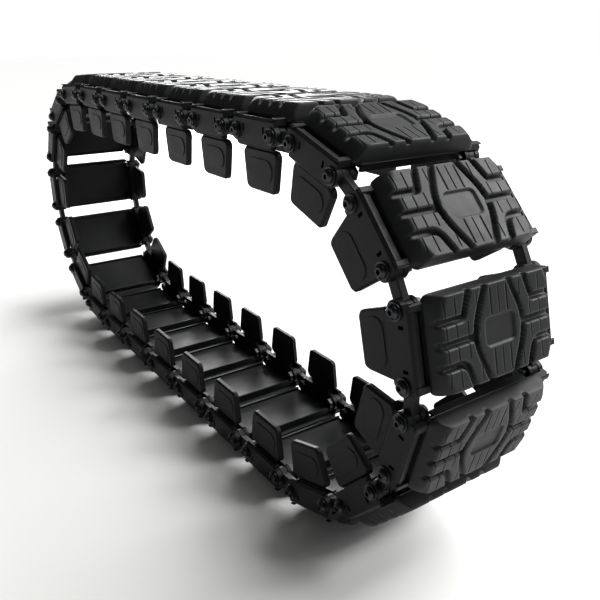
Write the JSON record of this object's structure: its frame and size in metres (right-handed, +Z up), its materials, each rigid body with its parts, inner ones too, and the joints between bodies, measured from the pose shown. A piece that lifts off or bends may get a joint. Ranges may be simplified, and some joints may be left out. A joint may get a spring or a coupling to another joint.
{
  "type": "over-the-tyre track",
  "caption": "Closed track that wraps two tyres in line: steel shoes with bonded rubber tread pads and side guide lugs, joined on both sides by pinned links.",
  "frame": {"origin": "under the middle of the whole track, on the surface it stands on", "axes": "+X the way the machine drives forward, along the track, +Y across the track, +Z up"},
  "size_m": [1.9108, 0.337, 0.812],
  "materials": {
    "shoe_steel": "satin black paint on cast and cut steel",
    "link_steel": "satin black paint on forged steel",
    "tread_rubber": "moulded black rubber"
  },
  "bodies": {
    "ground_run": {"ground_frames": "shoe_steel", "ground_pads": "tread_rubber", "ground_links": "link_steel"},
    "link_01": {"link_01": "link_steel"},
    "shoe_01": {"shoe_01_frame": "shoe_steel", "shoe_01_pad": "tread_rubber"},
    "link_02": {"link_02": "link_steel"},
    "shoe_02": {"shoe_02_frame": "shoe_steel", "shoe_02_pad": "tread_rubber"},
    "link_03": {"link_03": "link_steel"},
    "shoe_03": {"shoe_03_frame": "shoe_steel", "shoe_03_pad": "tread_rubber"},
    "link_04": {"link_04": "link_steel"},
    "shoe_04": {"shoe_04_frame": "shoe_steel", "shoe_04_pad": "tread_rubber"},
    "link_05": {"link_05": "link_steel"},
    "shoe_05": {"shoe_05_frame": "shoe_steel", "shoe_05_pad": "tread_rubber"},
    "link_06": {"link_06": "link_steel"},
    "shoe_06": {"shoe_06_frame": "shoe_steel", "shoe_06_pad": "tread_rubber"},
    "link_07": {"link_07": "link_steel"},
    "shoe_07": {"shoe_07_frame": "shoe_steel", "shoe_07_pad": "tread_rubber"},
    "link_08": {"link_08": "link_steel"},
    "shoe_08": {"shoe_08_frame": "shoe_steel", "shoe_08_pad": "tread_rubber"},
    "link_09": {"link_09": "link_steel"},
    "shoe_09": {"shoe_09_frame": "shoe_steel", "shoe_09_pad": "tread_rubber"},
    "link_10": {"link_10": "link_steel"},
    "shoe_10": {"shoe_10_frame": "shoe_steel", "shoe_10_pad": "tread_rubber"},
    "link_11": {"link_11": "link_steel"},
    "shoe_11": {"shoe_11_frame": "shoe_steel", "shoe_11_pad": "tread_rubber"},
    "link_12": {"link_12": "link_steel"},
    "shoe_12": {"shoe_12_frame": "shoe_steel", "shoe_12_pad": "tread_rubber"},
    "link_13": {"link_13": "link_steel"},
    "shoe_13": {"shoe_13_frame": "shoe_steel", "shoe_13_pad": "tread_rubber"},
    "link_14": {"link_14": "link_steel"},
    "shoe_14": {"shoe_14_frame": "shoe_steel", "shoe_14_pad": "tread_rubber"},
    "link_15": {"link_15": "link_steel"},
    "shoe_15": {"shoe_15_frame": "shoe_steel", "shoe_15_pad": "tread_rubber"},
    "link_16": {"link_16": "link_steel"},
    "shoe_16": {"shoe_16_frame": "shoe_steel", "shoe_16_pad": "tread_rubber"},
    "link_17": {"link_17": "link_steel"},
    "shoe_17": {"shoe_17_frame": "shoe_steel", "shoe_17_pad": "tread_rubber"},
    "link_18": {"link_18": "link_steel"},
    "shoe_18": {"shoe_18_frame": "shoe_steel", "shoe_18_pad": "tread_rubber"},
    "link_19": {"link_19": "link_steel"},
    "shoe_19": {"shoe_19_frame": "shoe_steel", "shoe_19_pad": "tread_rubber"}
  },
  "joints": [
    {"name": "link_01_hinge", "type": "hinge", "parent": "ground_run", "child": "link_01", "pos_m": [0.53644, 0, 0.05606], "axis": [0, -1, 0], "range_deg": [-10.1, 0]},
    {"name": "shoe_01_hinge", "type": "hinge", "parent": "link_01", "child": "shoe_01", "pos_m": [0.59735, 0, 0.05935], "axis": [0, -1, 0], "range_deg": [-21.23, 0]},
    {"name": "link_02_hinge", "type": "hinge", "parent": "shoe_01", "child": "link_02", "pos_m": [0.70714, 0, 0.0936], "axis": [0, -1, 0], "range_deg": [-21.46, 0]},
    {"name": "shoe_02_hinge", "type": "hinge", "parent": "link_02", "child": "shoe_02", "pos_m": [0.75899, 0, 0.12572], "axis": [0, -1, 0], "range_deg": [-21.46, 0]},
    {"name": "link_03_hinge", "type": "hinge", "parent": "shoe_02", "child": "link_03", "pos_m": [0.83854, 0, 0.20877], "axis": [0, -1, 0], "range_deg": [-21.46, 0]},
    {"name": "shoe_03_hinge", "type": "hinge", "parent": "link_03", "child": "shoe_03", "pos_m": [0.8684, 0, 0.26196], "axis": [0, -1, 0], "range_deg": [-21.46, 0]},
    {"name": "link_04_hinge", "type": "hinge", "parent": "shoe_03", "child": "link_04", "pos_m": [0.89789, 0, 0.37312], "axis": [0, -1, 0], "range_deg": [-21.46, 0]},
    {"name": "shoe_04_hinge", "type": "hinge", "parent": "link_04", "child": "shoe_04", "pos_m": [0.89832, 0, 0.43411], "axis": [0, -1, 0], "range_deg": [-21.46, 0]},
    {"name": "link_05_hinge", "type": "hinge", "parent": "shoe_04", "child": "link_05", "pos_m": [0.87039, 0, 0.54567], "axis": [0, -1, 0], "range_deg": [-21.46, 0]},
    {"name": "shoe_05_hinge", "type": "hinge", "parent": "link_05", "child": "shoe_05", "pos_m": [0.84128, 0, 0.59928], "axis": [0, -1, 0], "range_deg": [-21.46, 0]},
    {"name": "link_06_hinge", "type": "hinge", "parent": "shoe_05", "child": "link_06", "pos_m": [0.7629, 0, 0.68343], "axis": [0, -1, 0], "range_deg": [-21.46, 0]},
    {"name": "shoe_06_hinge", "type": "hinge", "parent": "link_06", "child": "shoe_06", "pos_m": [0.7115, 0, 0.71628], "axis": [0, -1, 0], "range_deg": [-21.46, 0]},
    {"name": "link_07_hinge", "type": "hinge", "parent": "shoe_06", "child": "link_07", "pos_m": [0.60221, 0, 0.75206], "axis": [0, -1, 0], "range_deg": [-21.37, 0]},
    {"name": "shoe_07_hinge", "type": "hinge", "parent": "link_07", "child": "shoe_07", "pos_m": [0.54134, 0, 0.75606], "axis": [0, -1, 0], "range_deg": [-10.76, 0]},
    {"name": "link_08_hinge", "type": "hinge", "parent": "shoe_07", "child": "link_08", "pos_m": [0.42634, 0, 0.75606], "axis": [0, -1, 0], "range_deg": [-7, 0]},
    {"name": "shoe_08_hinge", "type": "hinge", "parent": "link_08", "child": "shoe_08", "pos_m": [0.36534, 0, 0.75606], "axis": [0, -1, 0], "range_deg": [-7, 0]},
    {"name": "link_09_hinge", "type": "hinge", "parent": "shoe_08", "child": "link_09", "pos_m": [0.25034, 0, 0.75606], "axis": [0, -1, 0], "range_deg": [-7, 0]},
    {"name": "shoe_09_hinge", "type": "hinge", "parent": "link_09", "child": "shoe_09", "pos_m": [0.18934, 0, 0.75606], "axis": [0, -1, 0], "range_deg": [-7, 0]},
    {"name": "link_10_hinge", "type": "hinge", "parent": "shoe_09", "child": "link_10", "pos_m": [0.07434, 0, 0.75606], "axis": [0, -1, 0], "range_deg": [-7, 0]},
    {"name": "shoe_10_hinge", "type": "hinge", "parent": "link_10", "child": "shoe_10", "pos_m": [0.01334, 0, 0.75606], "axis": [0, -1, 0], "range_deg": [-7, 0]},
    {"name": "link_11_hinge", "type": "hinge", "parent": "shoe_10", "child": "link_11", "pos_m": [-0.10166, 0, 0.75606], "axis": [0, -1, 0], "range_deg": [-7, 0]},
    {"name": "shoe_11_hinge", "type": "hinge", "parent": "link_11", "child": "shoe_11", "pos_m": [-0.16266, 0, 0.75606], "axis": [0, -1, 0], "range_deg": [-7, 0]},
    {"name": "link_12_hinge", "type": "hinge", "parent": "shoe_11", "child": "link_12", "pos_m": [-0.27766, 0, 0.75606], "axis": [0, -1, 0], "range_deg": [-7, 0]},
    {"name": "shoe_12_hinge", "type": "hinge", "parent": "link_12", "child": "shoe_12", "pos_m": [-0.33866, 0, 0.75606], "axis": [0, -1, 0], "range_deg": [-7, 0]},
    {"name": "link_13_hinge", "type": "hinge", "parent": "shoe_12", "child": "link_13", "pos_m": [-0.45366, 0, 0.75606], "axis": [0, -1, 0], "range_deg": [-7, 0]},
    {"name": "shoe_13_hinge", "type": "hinge", "parent": "link_13", "child": "shoe_13", "pos_m": [-0.51466, 0, 0.75606], "axis": [0, -1, 0], "range_deg": [-11.02, 0]},
    {"name": "link_14_hinge", "type": "hinge", "parent": "shoe_13", "child": "link_14", "pos_m": [-0.62938, 0, 0.748], "axis": [0, -1, 0], "range_deg": [-20.3, 0]},
    {"name": "shoe_14_hinge", "type": "hinge", "parent": "link_14", "child": "shoe_14", "pos_m": [-0.68761, 0, 0.72984], "axis": [0, -1, 0], "range_deg": [-21.46, 0]},
    {"name": "link_15_hinge", "type": "hinge", "parent": "shoe_14", "child": "link_15", "pos_m": [-0.78537, 0, 0.66928], "axis": [0, -1, 0], "range_deg": [-21.46, 0]},
    {"name": "shoe_15_hinge", "type": "hinge", "parent": "link_15", "child": "shoe_15", "pos_m": [-0.82757, 0, 0.62523], "axis": [0, -1, 0], "range_deg": [-21.46, 0]},
    {"name": "link_16_hinge", "type": "hinge", "parent": "shoe_15", "child": "link_16", "pos_m": [-0.88387, 0, 0.52495], "axis": [0, -1, 0], "range_deg": [-21.46, 0]},
    {"name": "shoe_16_hinge", "type": "hinge", "parent": "link_16", "child": "shoe_16", "pos_m": [-0.89952, 0, 0.46599], "axis": [0, -1, 0], "range_deg": [-21.46, 0]},
    {"name": "link_17_hinge", "type": "hinge", "parent": "shoe_16", "child": "link_17", "pos_m": [-0.90033, 0, 0.35099], "axis": [0, -1, 0], "range_deg": [-21.46, 0]},
    {"name": "shoe_17_hinge", "type": "hinge", "parent": "link_17", "child": "shoe_17", "pos_m": [-0.88552, 0, 0.29182], "axis": [0, -1, 0], "range_deg": [-21.46, 0]},
    {"name": "link_18_hinge", "type": "hinge", "parent": "shoe_17", "child": "link_18", "pos_m": [-0.83063, 0, 0.19076], "axis": [0, -1, 0], "range_deg": [-21.46, 0]},
    {"name": "shoe_18_hinge", "type": "hinge", "parent": "link_18", "child": "shoe_18", "pos_m": [-0.78906, 0, 0.14612], "axis": [0, -1, 0], "range_deg": [-21.46, 0]},
    {"name": "link_19_hinge", "type": "hinge", "parent": "shoe_18", "child": "link_19", "pos_m": [-0.69216, 0, 0.08419], "axis": [0, -1, 0], "range_deg": [-21.46, 0]},
    {"name": "shoe_19_hinge", "type": "hinge", "parent": "link_19", "child": "shoe_19", "pos_m": [-0.63419, 0, 0.06521], "axis": [0, -1, 0], "range_deg": [-20.57, 0]}
  ]
}
